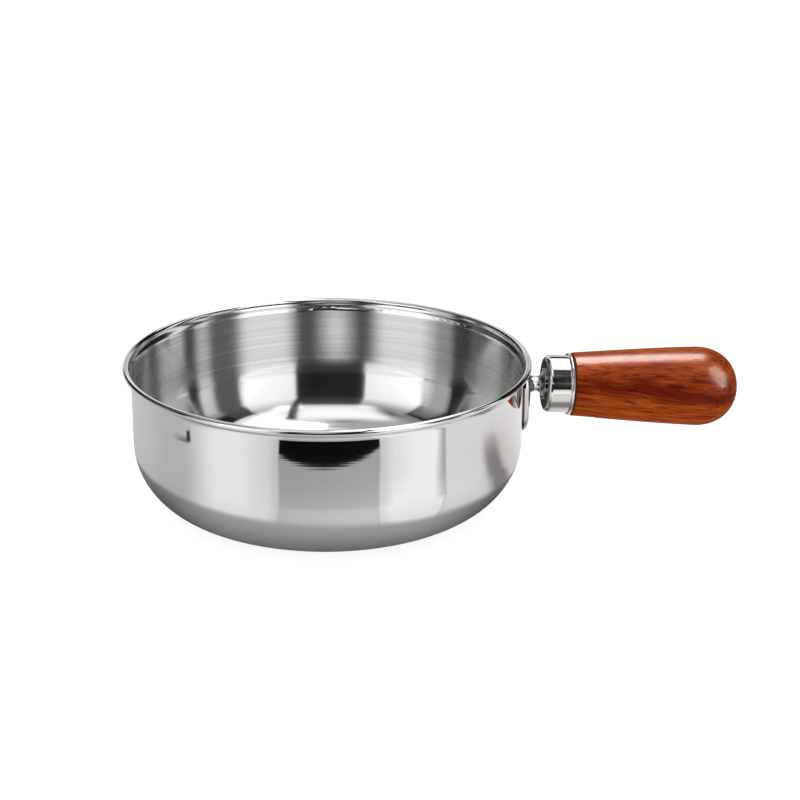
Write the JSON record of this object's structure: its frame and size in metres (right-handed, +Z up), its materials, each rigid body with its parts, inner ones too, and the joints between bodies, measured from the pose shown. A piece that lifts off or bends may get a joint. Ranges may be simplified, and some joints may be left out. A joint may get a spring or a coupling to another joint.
{
  "type": "milk pan",
  "caption": "Small round stainless-steel saucepan with a straight wall, deep rounded base corner and rolled rim, held by a short turned wooden handle on a welded bracket.",
  "frame": {"origin": "centre of the flat underside of the base, on the pan's own axis", "axes": "+Z up along the pan's axis, +X towards the end of the handle"},
  "size_m": [0.2525, 0.165, 0.0595],
  "materials": {
    "pan_steel": "mirror polished outside, fine satin inside",
    "bracket_steel": "mirror polished",
    "stud_steel": "as turned",
    "ferrule_steel": "mirror polished",
    "black_fibre": "matt",
    "lacquered_wood": "clear gloss lacquer over reddish-brown hardwood",
    "insert_brass": "as turned"
  },
  "bodies": {
    "root": {"pan_body": "pan_steel", "handle_bracket": "bracket_steel", "handle_stud": "stud_steel", "ferrule": "ferrule_steel", "fibre_washer": "black_fibre", "wood_handle": "lacquered_wood", "threaded_insert": "insert_brass"}
  },
  "joints": []
}
